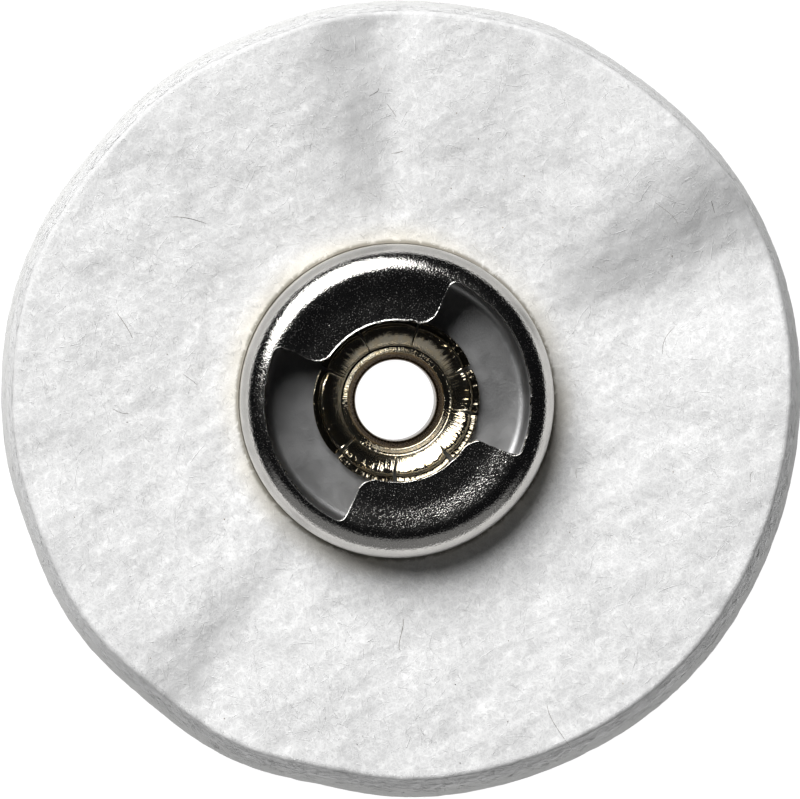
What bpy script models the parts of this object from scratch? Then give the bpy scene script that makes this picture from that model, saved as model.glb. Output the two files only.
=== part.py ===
"""Felt polishing wheel with a quarter-turn quick-lock hub, for a small rotary tool.

Two die-cut felt discs are clamped between a drawn steel hub on the drive side and
a dished washer on the back. One tubular eyelet passes through all of them and is
split and rolled over inside the hub. The hub is two cups, one pushed into the
other. The inner one has the floor that the eyelet pulls down. The outer one is
the bright cap, with the bow-tie window that a quick-lock mandrel passes through
and then turns under.

Lengths are metres, +Z is the spin axis pointing out of the drive side, and +X is
the long axis of the bow-tie window. The washer's flat back lies on Z = 0.
"""

import math

import bmesh
import bpy
from mathutils import Matrix

MM = 0.001

# ---------------------------------------------------------------- felt discs
WHEEL_DIAMETER = 25.4 * MM
FELT_PLY = 1.6 * MM  # free thickness of each disc
EDGE_LEAN = 0.12 * MM  # how far each disc's cut edge leans in, back to front
EDGE_ROUND = 0.1 * MM
DIP_REACH = 4.0 * MM  # how far outside the hub and the washer the felt is drawn in
FRONT_DIP = 0.36 * MM  # how far its front face is drawn down at the hub
BACK_DIP = 0.2 * MM  # how far its back face is drawn up at the washer

# ---------------------------------------------------------------- hub cap
CAP_DIAMETER = 10.0 * MM
CAP_SHEET = 0.36 * MM
CAP_SHOULDER = 0.9 * MM  # outside radius of the drawn shoulder
CRIMP_ANGLE = 35.0  # degrees that the cap's edge is turned in under the cup

# ---------------------------------------------------------------- bow-tie window
WINDOW_SETBACK = 0.02 * MM  # of the window's ends inside the cup's wall
EAR_HALF_ANGLE = 44.5  # degrees
EAR_CORNER = 0.6 * MM
WINDOW_CORNER = 0.25 * MM
WAIST_CLEARANCE = 0.07 * MM  # between the ears and the eyelet's rolled head

# ---------------------------------------------------------------- inner cup
CUP_SHEET = 0.36 * MM
CUP_FILLET = 0.36 * MM
DRIVE_DEPTH = 2.44 * MM  # from the cap's face down to the cup's floor
HUB_SINK = 1.0 * MM  # how far the cup is pulled below the felt's free face

# ---------------------------------------------------------------- eyelet
EYELET_BORE = 2.57 * MM
EYELET_WALL = 0.25 * MM
HEAD_OVERHANG = 0.965 * MM  # how far the rolled head and the flange reach beyond the tube
HEAD_HEIGHT = 0.72 * MM
SPLIT_COUNT = 8
SPLIT_WIDTH = 0.16 * MM
SPLIT_START = 8.0  # degrees

# ---------------------------------------------------------------- back washer
WASHER_DIAMETER = 10.0 * MM
WASHER_SHEET = 0.5 * MM
WASHER_DISH = 0.42 * MM  # how far its middle is pressed in, to hide the eyelet's flange
WASHER_PROUD = 0.2 * MM  # how far it stands below the felt's free back face
DISH_CLEARANCE = 0.25 * MM  # round the eyelet's flange, inside the dish

# ---------------------------------------------------------------- fits and facets
FIT_GAP = 0.02 * MM  # between pieces that touch on the real wheel
TURNED_STEPS = 64
FELT_STEPS = 72
ARC_STEPS = 6

# ---------------------------------------------------------------- heights that follow
WHEEL_RADIUS = WHEEL_DIAMETER / 2
CAP_RADIUS = CAP_DIAMETER / 2
WASHER_RADIUS = WASHER_DIAMETER / 2
BORE_RADIUS = EYELET_BORE / 2
BARREL_RADIUS = BORE_RADIUS + EYELET_WALL
HEAD_RADIUS = BARREL_RADIUS + HEAD_OVERHANG
PIERCED_RADIUS = BARREL_RADIUS + FIT_GAP
FELT_BACK = WASHER_PROUD
FELT_MIDDLE = FELT_BACK + FELT_PLY
FELT_FRONT = FELT_MIDDLE + FELT_PLY
CUP_BOTTOM = FELT_FRONT - HUB_SINK
CUP_FLOOR = CUP_BOTTOM + CUP_SHEET
CAP_FACE = CUP_FLOOR + DRIVE_DEPTH
CUP_RADIUS = CAP_RADIUS - CAP_SHEET - FIT_GAP
FLOOR_RADIUS = CUP_RADIUS - CUP_SHEET - CUP_FILLET
FILLET_HEIGHT = CUP_FLOOR + CUP_FILLET
CUP_TOP = CAP_FACE - CAP_SHOULDER - FIT_GAP
PRESSED_MIDDLE = (CUP_BOTTOM + WASHER_SHEET) / 2
WINDOW_RADIUS = CUP_RADIUS - CUP_SHEET - WINDOW_SETBACK
WAIST_RADIUS = HEAD_RADIUS + WAIST_CLEARANCE
DISH_RADIUS = HEAD_RADIUS + DISH_CLEARANCE


def clear_scene():
    for obj in list(bpy.data.objects):
        bpy.data.objects.remove(obj, do_unlink=True)


def new_collection(name, hidden=False):
    """A collection linked under the scene, kept out of renders when it holds cutters."""
    found = bpy.data.collections.new(name)
    bpy.context.scene.collection.children.link(found)
    found.hide_render = hidden
    return found


def material(name, colour, metallic, roughness):
    made = bpy.data.materials.new(name)
    made.use_nodes = True
    shader = made.node_tree.nodes["Principled BSDF"]
    shader.inputs["Base Color"].default_value = (*colour, 1.0)
    shader.inputs["Metallic"].default_value = metallic
    shader.inputs["Roughness"].default_value = roughness
    made.diffuse_color = (*colour, 1.0)
    return made


def arc(centre, radius, start, end, steps=ARC_STEPS):
    """Points (radius, height) round a centre, from one angle to another in degrees."""
    points = []
    for i in range(steps + 1):
        angle = math.radians(start + (end - start) * i / steps)
        x = centre[0] + radius * math.cos(angle)
        y = centre[1] + radius * math.sin(angle)
        points.append((x, y))
    return points


def unit(a, b):
    """The direction from a to b."""
    length = math.hypot(b[0] - a[0], b[1] - a[1])
    return ((b[0] - a[0]) / length, (b[1] - a[1]) / length)


def offset(path, distance):
    """The path moved sideways to its left, with mitred corners."""
    moved = []
    last = len(path) - 1
    for i, (x, y) in enumerate(path):
        before = unit(path[max(i - 1, 0)], path[max(i, 1)])
        after = unit(path[min(i, last - 1)], path[min(i + 1, last)])
        normal = (-before[1] - after[1], before[0] + after[0])
        length = math.hypot(*normal)
        normal = (normal[0] / length, normal[1] / length)
        mitre = normal[0] * -after[1] + normal[1] * after[0]
        moved.append((x + normal[0] * distance / mitre, y + normal[1] * distance / mitre))
    return moved


def pressed_sheet(path, thickness):
    """The closed section of a sheet of one thickness bent along a path of (radius, height)."""
    left = offset(path, thickness / 2)
    right = offset(path, -thickness / 2)
    return left + right[::-1]


def turned(name, section, steps, look, collection):
    """A solid turned about Z from a section of (radius, height) points.

    The section is a closed loop whose outer side runs downwards. Where it starts
    and ends on the axis it is left open, so that the solid has no inner wall.
    """
    mesh = bpy.data.meshes.new(name)
    corners = [(r, 0.0, z) for r, z in section]
    edges = [(i, i + 1) for i in range(len(corners) - 1)]
    if section[0][0] > 0:
        edges.append((len(corners) - 1, 0))
    mesh.from_pydata(corners, edges, [])
    obj = bpy.data.objects.new(name, mesh)
    collection.objects.link(obj)
    obj.data.materials.append(look)
    screw = obj.modifiers.new("turn", "SCREW")
    screw.axis = "Z"
    screw.angle = 2 * math.pi
    screw.steps = steps
    screw.render_steps = steps
    screw.use_merge_vertices = True
    screw.merge_threshold = 1e-6
    screw.use_smooth_shade = True
    return obj


def cut(obj, cutter):
    step = obj.modifiers.new(cutter.name, "BOOLEAN")
    step.operation = "DIFFERENCE"
    step.solver = "EXACT"
    step.object = cutter


def helper(obj):
    obj.hide_render = True
    obj.display_type = "WIRE"
    return obj


def window_outline():
    """The bow-tie window, as points round it.

    It is a round waist with a sector opened on either side along X. Each ear's two
    inner corners and each sector's two outer corners are rounded.
    """
    half = 90.0 - EAR_HALF_ANGLE
    outer = WINDOW_RADIUS - WINDOW_CORNER
    inner = WAIST_RADIUS + EAR_CORNER
    outer_swing = math.degrees(math.asin(WINDOW_CORNER / outer))
    inner_swing = math.degrees(math.asin(EAR_CORNER / inner))

    def polar(radius, angle):
        turn = math.radians(angle)
        return (radius * math.cos(turn), radius * math.sin(turn))

    points = []
    for side in (0.0, 180.0):
        low = side - half
        high = side + half
        centre = polar(inner, low - inner_swing)
        points += arc(centre, EAR_CORNER, low - inner_swing + 180.0, low + 90.0)
        centre = polar(outer, low + outer_swing)
        points += arc(centre, WINDOW_CORNER, low - 90.0, low + outer_swing)
        points += arc((0.0, 0.0), WINDOW_RADIUS, low + outer_swing, high - outer_swing, 16)[1:-1]
        centre = polar(outer, high - outer_swing)
        points += arc(centre, WINDOW_CORNER, high - outer_swing, high + 90.0)
        centre = polar(inner, high + inner_swing)
        points += arc(centre, EAR_CORNER, high - 90.0, high + inner_swing - 180.0)
        waist_from = high + inner_swing
        waist_to = high + 2 * EAR_HALF_ANGLE - inner_swing
        points += arc((0.0, 0.0), WAIST_RADIUS, waist_from, waist_to, 12)[1:-1]
    return points


def plate_cutter(name, outline, low, high, collection):
    """A flat outline made solid between two heights, through a filled 2D curve."""
    curve = bpy.data.curves.new(name, "CURVE")
    curve.dimensions = "2D"
    curve.fill_mode = "BOTH"
    curve.extrude = (high - low) / 2
    spline = curve.splines.new("POLY")
    spline.points.add(len(outline) - 1)
    for point, (x, y) in zip(spline.points, outline):
        point.co = (x, y, 0.0, 1.0)
    spline.use_cyclic_u = True
    drawn = bpy.data.objects.new(name + "_outline", curve)
    collection.objects.link(drawn)
    bpy.context.view_layer.update()
    graph = bpy.context.evaluated_depsgraph_get()
    mesh = bpy.data.meshes.new_from_object(drawn.evaluated_get(graph))
    bpy.data.objects.remove(drawn, do_unlink=True)
    shape = bmesh.new()
    shape.from_mesh(mesh)
    bmesh.ops.remove_doubles(shape, verts=shape.verts, dist=1e-7)
    bmesh.ops.translate(shape, verts=shape.verts, vec=(0.0, 0.0, (low + high) / 2))
    bmesh.ops.recalc_face_normals(shape, faces=shape.faces)
    shape.to_mesh(mesh)
    shape.free()
    obj = bpy.data.objects.new(name, mesh)
    collection.objects.link(obj)
    return helper(obj)


def split_cutter(name, inner, outer, low, high, collection):
    """Thin radial blades that split a rolled rim into petals."""
    shape = bmesh.new()
    for i in range(SPLIT_COUNT):
        made = bmesh.ops.create_cube(shape, size=1.0)
        size = (outer - inner, SPLIT_WIDTH, high - low)
        bmesh.ops.scale(shape, verts=made["verts"], vec=size)
        place = ((inner + outer) / 2, 0.0, (low + high) / 2)
        bmesh.ops.translate(shape, verts=made["verts"], vec=place)
        angle = math.radians(SPLIT_START) + 2 * math.pi * i / SPLIT_COUNT
        turn = Matrix.Rotation(angle, 3, "Z")
        bmesh.ops.rotate(shape, verts=made["verts"], cent=(0.0, 0.0, 0.0), matrix=turn)
    mesh = bpy.data.meshes.new(name)
    shape.to_mesh(mesh)
    shape.free()
    obj = bpy.data.objects.new(name, mesh)
    collection.objects.link(obj)
    return helper(obj)


def cap_path():
    """Middle of the cap's sheet: flat face, shoulder, wall, and the edge crimped in."""
    middle = CAP_SHEET / 2
    flat = CAP_RADIUS - CAP_SHOULDER
    path = [(0.0, CAP_FACE - middle)]
    path += arc((flat, CAP_FACE - CAP_SHOULDER), CAP_SHOULDER - middle, 90.0, 0.0)
    crimp = CAP_RADIUS - middle - FLOOR_RADIUS
    path += arc((FLOOR_RADIUS, FILLET_HEIGHT), crimp, 0.0, -CRIMP_ANGLE, 4)
    return path


def cup_path():
    """Middle of the cup's sheet, from the top of its wall down and in to the pierced hole."""
    middle = CUP_SHEET / 2
    path = [(CUP_RADIUS - middle, CUP_TOP)]
    path += arc((FLOOR_RADIUS, FILLET_HEIGHT), CUP_FILLET + middle, 0.0, -90.0)
    path.append((PIERCED_RADIUS, CUP_FLOOR - middle))
    return path


def eyelet_path():
    """Middle of the eyelet's wall, from the rim of its rolled head in, down and out."""
    middle = EYELET_WALL / 2
    barrel = BORE_RADIUS + middle
    roll = HEAD_HEIGHT / 2
    crest = (HEAD_RADIUS - roll - middle, CUP_FLOOR + HEAD_HEIGHT - roll - middle)
    path = arc(crest, roll, -25.0, 120.0, 7)
    flare = 2.7 * middle
    path += arc((barrel + flare, CUP_FLOOR + 0.8 * middle), flare, 120.0, 180.0, 4)
    bend = 1.2 * middle
    seat = WASHER_DISH - FIT_GAP - middle
    path += arc((barrel + bend, seat + bend), bend, 180.0, 270.0, 3)
    path.append((HEAD_RADIUS, seat))
    return path


def washer_path():
    """Middle of the washer's sheet: flat rim, then up a short slope to the dished middle."""
    middle = WASHER_SHEET / 2
    path = [(WASHER_RADIUS, middle)]
    path.append((DISH_RADIUS + WASHER_DISH, middle))
    path.append((DISH_RADIUS, middle + WASHER_DISH))
    path.append((PIERCED_RADIUS, middle + WASHER_DISH))
    return path


def drawn_in(edge):
    """Radii from an edge outwards, each with the share of the pull that is left there.

    The share falls from 1 at the edge to 0 at the dip's reach, as the square of the
    distance still to go.
    """
    points = []
    for part in (0.0, 0.12, 0.3, 0.55, 1.0):
        points.append((edge + part * DIP_REACH, (1.0 - part) ** 2))
    return points


def felt_joint(side):
    """The face between the two discs, from the hub out to where it lies flat."""
    section = [(PIERCED_RADIUS, PRESSED_MIDDLE + side * FIT_GAP / 2)]
    for radius, share in drawn_in(WASHER_RADIUS):
        height = FELT_MIDDLE - (FELT_MIDDLE - PRESSED_MIDDLE) * share
        section.append((radius, height + side * FIT_GAP / 2))
    return section


def felt_front_section():
    """The front disc: pressed down under the hub, close round the crimp, free outside it."""
    pressed = CUP_BOTTOM - FIT_GAP
    crimp = CAP_RADIUS - FLOOR_RADIUS + FIT_GAP
    rim = WHEEL_RADIUS - EDGE_LEAN - FIT_GAP
    edge = FELT_FRONT - FRONT_DIP
    rise = min(0.0, (edge - FILLET_HEIGHT) / crimp)
    hugging = arc((FLOOR_RADIUS, FILLET_HEIGHT), crimp, -CRIMP_ANGLE, math.degrees(math.asin(rise)), 3)
    section = [(PIERCED_RADIUS, pressed), (hugging[0][0], pressed)]
    section += hugging
    for radius, share in drawn_in(CAP_RADIUS + 2 * FIT_GAP):
        section.append((radius, FELT_FRONT - FRONT_DIP * share))
    corner = (rim - EDGE_LEAN - EDGE_ROUND, FELT_FRONT - EDGE_ROUND)
    section += arc(corner, EDGE_ROUND, 90.0, 0.0, 3)
    section.append((rim, FELT_MIDDLE + FIT_GAP / 2))
    return section + felt_joint(1)[::-1]


def felt_back_section():
    """The back disc: pressed up by the washer and its dished middle, free outside them."""
    rise = WASHER_SHEET + FIT_GAP
    slope = DISH_RADIUS + WASHER_DISH + DISH_CLEARANCE / 2
    section = felt_joint(-1)
    section.append((WHEEL_RADIUS - EDGE_LEAN, FELT_MIDDLE - FIT_GAP / 2))
    corner = (WHEEL_RADIUS - EDGE_ROUND, FELT_BACK + EDGE_ROUND)
    section += arc(corner, EDGE_ROUND, 0.0, -90.0, 3)
    for radius, share in drawn_in(WASHER_RADIUS + 2 * FIT_GAP)[::-1]:
        section.append((radius, FELT_BACK + BACK_DIP * share))
    section.append((WASHER_RADIUS + FIT_GAP, rise))
    section.append((slope, rise))
    section.append((slope - WASHER_DISH, rise + WASHER_DISH))
    section.append((PIERCED_RADIUS, rise + WASHER_DISH))
    return section


def build():
    clear_scene()
    wheel = new_collection("felt_polishing_wheel")
    cutters = new_collection("cutters", hidden=True)

    chrome = material("bright_chrome", (0.80, 0.80, 0.81), 1.0, 0.12)
    satin = material("satin_steel", (0.58, 0.58, 0.57), 1.0, 0.36)
    nickel = material("nickelled_brass", (0.72, 0.68, 0.58), 1.0, 0.24)
    white_felt = material("white_felt", (0.86, 0.86, 0.84), 0.0, 0.95)
    back_felt = material("back_felt", (0.80, 0.80, 0.78), 0.0, 0.95)
    zinc = material("zinc_steel", (0.62, 0.63, 0.64), 1.0, 0.32)

    cap = turned("drive_cap", pressed_sheet(cap_path(), CAP_SHEET), TURNED_STEPS, chrome, wheel)
    window = plate_cutter("window_cutter", window_outline(), CUP_TOP, CAP_FACE + CAP_SHEET, cutters)
    cut(cap, window)

    turned("hub_cup", pressed_sheet(cup_path(), CUP_SHEET), TURNED_STEPS, satin, wheel)

    eyelet = turned("eyelet", pressed_sheet(eyelet_path(), EYELET_WALL), TURNED_STEPS, nickel, wheel)
    root = BARREL_RADIUS + EYELET_WALL
    low = CUP_FLOOR - SPLIT_WIDTH
    high = CUP_FLOOR + HEAD_HEIGHT + SPLIT_WIDTH
    blades = split_cutter("split_cutter", root, HEAD_RADIUS + SPLIT_WIDTH, low, high, cutters)
    cut(eyelet, blades)

    turned("felt_ply_front", felt_front_section(), FELT_STEPS, white_felt, wheel)
    turned("felt_ply_back", felt_back_section(), FELT_STEPS, back_felt, wheel)
    turned("backing_washer", pressed_sheet(washer_path(), WASHER_SHEET), TURNED_STEPS, zinc, wheel)


build()
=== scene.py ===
# %% [markdown]
# # A felt polishing wheel with a quarter-turn hub
#
# Two punched discs of white wool felt are clamped between a chromed hub and a
# steel washer, and one split brass eyelet holds the stack together. The packed
# model gives the true sizes and places. This lesson dresses each part with the
# shape and finish that a close look shows: the loose fibres of the felt, the
# orange-peel lustre of plated sheet steel, and the torn petals of the eyelet.

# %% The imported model
import math

import bpy
import numpy as np
from mathutils import Matrix, Vector


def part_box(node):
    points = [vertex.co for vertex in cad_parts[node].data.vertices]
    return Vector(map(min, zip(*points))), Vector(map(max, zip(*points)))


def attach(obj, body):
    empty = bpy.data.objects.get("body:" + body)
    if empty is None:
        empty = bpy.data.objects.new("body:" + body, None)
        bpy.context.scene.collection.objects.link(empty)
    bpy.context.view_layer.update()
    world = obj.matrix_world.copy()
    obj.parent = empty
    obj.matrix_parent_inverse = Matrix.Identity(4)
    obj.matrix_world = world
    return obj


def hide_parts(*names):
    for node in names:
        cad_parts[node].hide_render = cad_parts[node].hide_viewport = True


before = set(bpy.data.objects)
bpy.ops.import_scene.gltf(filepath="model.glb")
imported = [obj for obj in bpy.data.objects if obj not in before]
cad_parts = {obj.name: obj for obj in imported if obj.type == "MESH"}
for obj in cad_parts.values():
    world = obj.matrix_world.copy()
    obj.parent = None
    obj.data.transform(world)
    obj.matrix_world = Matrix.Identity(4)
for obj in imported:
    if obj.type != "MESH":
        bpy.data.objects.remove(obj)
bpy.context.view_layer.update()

MM = 0.001
cap_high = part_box("drive_cap")[1]
felt_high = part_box("felt_ply_front")[1]
cap_face = cap_high[2]
cap_radius = cap_high[0]
wheel_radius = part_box("felt_ply_back")[1][0]
print("cap face at", round(cap_face / MM, 3), "mm, wheel radius", round(wheel_radius / MM, 3), "mm")

# %% [markdown]
# ## Camera
#
# The wheel lies on its washer and is seen from straight above with a long lens,
# so that its round outline stays round. The hub leans a little out of the view's
# centre, because the camera stands two degrees off the spin axis. A shorter lens
# would show more of the rim's side and would bend the outline.

# %% Camera
VIEW_UP = math.radians(69.75)  # the view's up direction, from the window's long axis
VIEW_WIDTH = 25.5 * MM  # seen at the middle of the felt
VIEW_RANGE = 900 * MM
LEAN_LEFT = 1.68  # degrees
LEAN_UP = 0.8
HUB_RIGHT = -0.067 * MM  # where the cap's centre stands in the view
HUB_UP = -0.061 * MM
FELT_LEVEL = 2.6 * MM

view_up = Vector((math.cos(VIEW_UP), math.sin(VIEW_UP), 0.0))
view_right = Vector((math.sin(VIEW_UP), -math.cos(VIEW_UP), 0.0))
straight = Vector((0.0, 0.0, 1.0))
leaning = straight - view_right * math.tan(math.radians(LEAN_LEFT))
leaning = (leaning + view_up * math.tan(math.radians(LEAN_UP))).normalized()
across = view_up.cross(leaning).normalized()
upward = leaning.cross(across)
aim = Vector((0.0, 0.0, cap_face)) - across * HUB_RIGHT - upward * HUB_UP

camera_data = bpy.data.cameras.new("camera")
camera_data.sensor_width = 36.0
camera_data.lens = camera_data.sensor_width * VIEW_RANGE / VIEW_WIDTH
camera_data.clip_start = 0.02
camera_data.clip_end = 5.0
camera = bpy.data.objects.new("camera", camera_data)
bpy.context.scene.collection.objects.link(camera)
turn = Matrix((across, upward, leaning)).transposed().to_4x4()
stand = aim + leaning * (VIEW_RANGE - cap_face + FELT_LEVEL)
camera.matrix_world = Matrix.Translation(stand) @ turn
bpy.context.scene.camera = camera
print("lens", round(camera_data.lens), "mm")

# %% [markdown]
# ## Shader maths
#
# A material here is a sum of signals: a noise, a mask, a distance. Wrapping a
# socket in a small class lets these be written as ordinary Python expressions,
# and each operator adds one Math node. Every other node comes from one method.

# %% Signals
class Signal:
    """An output of a node; arithmetic on it adds Math nodes."""

    def __init__(self, tree, socket=None):
        self.tree = tree
        self.socket = socket

    def node(self, kind, settings, inputs, output=0):
        """A node of a kind: its settings are set first, then values or links go to its inputs."""
        made = self.tree.nodes.new(kind)
        for key, value in settings.items():
            setattr(made, key, value)
        for key, value in inputs.items():
            if isinstance(value, Signal):
                self.tree.links.new(value.socket, made.inputs[key])
            else:
                made.inputs[key].default_value = value
        return Signal(self.tree, made.outputs[output])

    def maths(self, operation, second=0.0):
        """One Math node whose first value is this signal."""
        return self.node("ShaderNodeMath", {"operation": operation}, {0: self, 1: second})

    def __add__(self, other):
        return self.maths("ADD", other)

    def __sub__(self, other):
        return self.maths("SUBTRACT", other)

    def __rsub__(self, other):
        return self * -1.0 + other

    def __mul__(self, other):
        return self.maths("MULTIPLY", other)

    def __truediv__(self, other):
        return self.maths("DIVIDE", other)

    __radd__ = __add__
    __rmul__ = __mul__

    def limited(self):
        """The signal kept between 0 and 1."""
        return self.node("ShaderNodeClamp", {}, {"Value": self})

    def band(self, low, high):
        """0 below one value, 1 above the other, and smooth between them."""
        limits = {"Value": self, "From Min": low, "From Max": high}
        return self.node("ShaderNodeMapRange", {"interpolation_type": "SMOOTHSTEP"}, limits)

    def noise(self, size, detail=3.0, roughness=0.55, distortion=0.0):
        """Cloudy noise at a feature size in metres; self is the position."""
        values = {"Vector": self, "Scale": 1.0 / size, "Detail": detail}
        values["Roughness"] = roughness
        values["Distortion"] = distortion
        return self.node("ShaderNodeTexNoise", {}, values)

    def blend(self, first, second):
        """One colour turning into another as self goes from 0 to 1."""
        mix = self.tree.nodes.new("ShaderNodeMix")
        mix.data_type = "RGBA"
        sockets = [s for s in mix.inputs if s.enabled]
        for socket, value in zip(sockets, (self, first, second)):
            if isinstance(value, Signal):
                self.tree.links.new(value.socket, socket)
            else:
                socket.default_value = (*value, 1.0)
        return Signal(self.tree, next(s for s in mix.outputs if s.enabled))


def new_finish(name):
    """A material with its Principled shader, and the position signal on the object."""
    made = bpy.data.materials.new(name)
    made.use_nodes = True
    start = Signal(made.node_tree)
    place = start.node("ShaderNodeTexCoord", {}, {}, "Object")
    return made, made.node_tree.nodes["Principled BSDF"], place


def feed(shader, **values):
    """Sets or links the shader's inputs; an underscore in a name stands for a space."""
    for key, value in values.items():
        socket = shader.inputs[key.replace("_", " ")]
        if isinstance(value, Signal):
            value.tree.links.new(value.socket, socket)
        elif isinstance(value, tuple):
            socket.default_value = (*value, 1.0)
        else:
            socket.default_value = value


def bumped(height, distance):
    """A Bump node at full strength, which turns a height signal into a normal."""
    values = {"Height": height, "Distance": distance, "Strength": 1.0}
    return height.node("ShaderNodeBump", {}, values)


def coordinates(place):
    """The three coordinates of a position, each as a signal."""
    parts = place.tree.nodes.new("ShaderNodeSeparateXYZ")
    place.tree.links.new(place.socket, parts.inputs[0])
    return [Signal(place.tree, parts.outputs[i]) for i in range(3)]


def from_axis(place):
    """Distance from the spin axis: sqrt(x^2 + y^2)."""
    x, y, _ = coordinates(place)
    return (x * x + y * y).maths("SQRT")


def stored_painted_shade(place):
    """The painted shade that a piece keeps at its points."""
    return place.node("ShaderNodeAttribute", {"attribute_name": "painted_shade"}, {}, "Fac")

# %% [markdown]
# ## Floor and light
#
# The wheel lies on white card that is lit from below and around, so it stays
# almost shadowless. One round soft light stands on the upper left, a little over
# forty-five degrees up, and a dim card opposite it gives the chrome its grey
# rim. Everything overhead is dark, which is what makes the plated hub look black.

# %% Floor
FLOOR_SIZE = 1.5
FLOOR_DROP = 0.01 * MM  # keeps it just clear of the washer
floor_look, floor_shader, floor_place = new_finish("white_card")
card_grain = floor_place.noise(2 * MM, 4.0)
feed(floor_shader, Base_Color=card_grain.blend((0.10, 0.10, 0.10), (0.12, 0.12, 0.12)), Roughness=0.8)
feed(floor_shader, Specular_IOR_Level=0.1)
feed(floor_shader, Emission_Color=(1.0, 1.0, 1.0), Emission_Strength=1.0)
half = FLOOR_SIZE / 2
corners = [(-half, -half), (half, -half), (half, half), (-half, half)]
floor_mesh = bpy.data.meshes.new("floor")
floor_mesh.from_pydata([(x, y, -FLOOR_DROP) for x, y in corners], [], [(0, 1, 2, 3)])
floor_mesh.materials.append(floor_look)
floor = bpy.data.objects.new("floor", floor_mesh)
bpy.context.scene.collection.objects.link(floor)


# %% Lights
def soft_light(name, bearing, elevation, distance, size, power, shape="DISK", size_y=None):
    """An area light that looks at the hub from a bearing and an elevation in degrees."""
    data = bpy.data.lights.new(name, "AREA")
    data.shape = shape
    data.size = size
    if size_y:
        data.size_y = size_y
    data.energy = power
    lamp = bpy.data.objects.new(name, data)
    bpy.context.scene.collection.objects.link(lamp)
    turned_by = math.radians(bearing)
    raised = math.radians(elevation)
    flat = Vector((math.cos(turned_by), math.sin(turned_by), 0.0)) * math.cos(raised)
    direction = flat + straight * math.sin(raised)
    lamp.location = direction * distance
    lamp.rotation_mode = "QUATERNION"
    lamp.rotation_quaternion = direction.to_track_quat("Z", "Y")
    lamp.visible_camera = False


soft_light("key", bearing=99.75, elevation=46.5, distance=0.60, size=0.51, power=5.65)
soft_light("rim_card", bearing=247.0, elevation=24.0, distance=0.25, size=0.60, power=0.11,
           shape="RECTANGLE", size_y=0.24)

world = bpy.data.worlds.new("dark_studio")
bpy.context.scene.world = world
world.use_nodes = True
world.node_tree.nodes["Background"].inputs["Color"].default_value = (0.006, 0.0063, 0.007, 1.0)
bpy.context.scene.view_settings.view_transform = "Standard"

# %% [markdown]
# ## Surfaces from arrays
#
# Every new piece is a grid of points worked out at once: rows run along a
# section and columns run round the spin axis. One helper numbers the grid's
# quads, and another puts points and faces into a mesh, turning the faces over
# if the volume they enclose comes out negative.

# %% Grid helpers
def grid_quads(rows, columns):
    """Corner numbers of the quads of a grid that closes on itself both ways.

    The quad at (i, j) joins i and i + 1 by j and j + 1, and the last row and
    column meet the first.
    """
    i, j = np.meshgrid(np.arange(rows), np.arange(columns), indexing="ij")
    down = (i + 1) % rows
    right = (j + 1) % columns
    corner = np.stack([i * columns + j, down * columns + j, down * columns + right, i * columns + right], -1)
    return corner.reshape(-1, 4)


def enclosed(points, faces):
    """Signed volume: the sum over triangles of a . (b x c) / 6."""
    a = points[faces[:, 0]]
    total = 0.0
    for k in range(1, faces.shape[1] - 1):
        total += (a * np.cross(points[faces[:, k]], points[faces[:, k + 1]])).sum() / 6
    return total


def outward(points, faces):
    """The faces, turned over if the volume that they enclose comes out negative."""
    return faces[:, ::-1] if enclosed(points, faces) < 0 else faces


def add_piece(name, points, faces, look, stands_for=None, painted_shade=None, rounded=True):
    """Puts points and faces of one corner count into a mesh that rides on the wheel.

    The share of painted shade for each point is kept as an attribute for the material.
    rounded is smooth shading.
    """
    points = points.reshape(-1, 3)
    faces = outward(points, faces)
    mesh = bpy.data.meshes.new(name)
    mesh.vertices.add(len(points))
    mesh.vertices.foreach_set("co", points.astype(np.float32).ravel())
    mesh.loops.add(faces.size)
    mesh.loops.foreach_set("vertex_index", faces.astype(np.int32).ravel())
    mesh.polygons.add(len(faces))
    mesh.polygons.foreach_set("loop_start", np.arange(0, faces.size, faces.shape[1], dtype=np.int32))
    mesh.update(calc_edges=True)
    mesh.validate()
    if rounded:
        mesh.shade_smooth()
    if painted_shade is not None:
        store = mesh.attributes.new("painted_shade", "FLOAT", "POINT")
        store.data.foreach_set("value", painted_shade.astype(np.float32).ravel())
    mesh.materials.append(look)
    made = bpy.data.objects.new(name, mesh)
    bpy.context.scene.collection.objects.link(made)
    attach(made, "root")
    if stands_for:
        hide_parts(stands_for)
    print(name, len(points), "points,", len(faces) * (faces.shape[1] - 2), "triangles")
    return made


def add_grid(name, points, look, stands_for, painted_shade=None):
    """A piece from rows and columns of points that close on themselves both ways."""
    faces = grid_quads(*points.shape[:2])
    return add_piece(name, points, faces, look, stands_for, painted_shade)


def arc(centre, radius, start, end, count):
    """Points (distance, height) on a circle: centre + radius (cos a, sin a), a in degrees."""
    a = np.radians(np.linspace(start, end, count))
    return np.stack([centre[0] + radius * np.cos(a), centre[1] + radius * np.sin(a)], -1)


def line(start, end, count):
    """Evenly spaced points from start up to, but not including, end."""
    t = np.arange(count)[:, None] / count
    return np.array(start) * (1 - t) + np.array(end) * t


def smooth(t):
    """0 below 0, 1 above 1, and 3 t^2 - 2 t^3 between them."""
    t = np.clip(t, 0.0, 1.0)
    return t * t * (3 - 2 * t)


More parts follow.
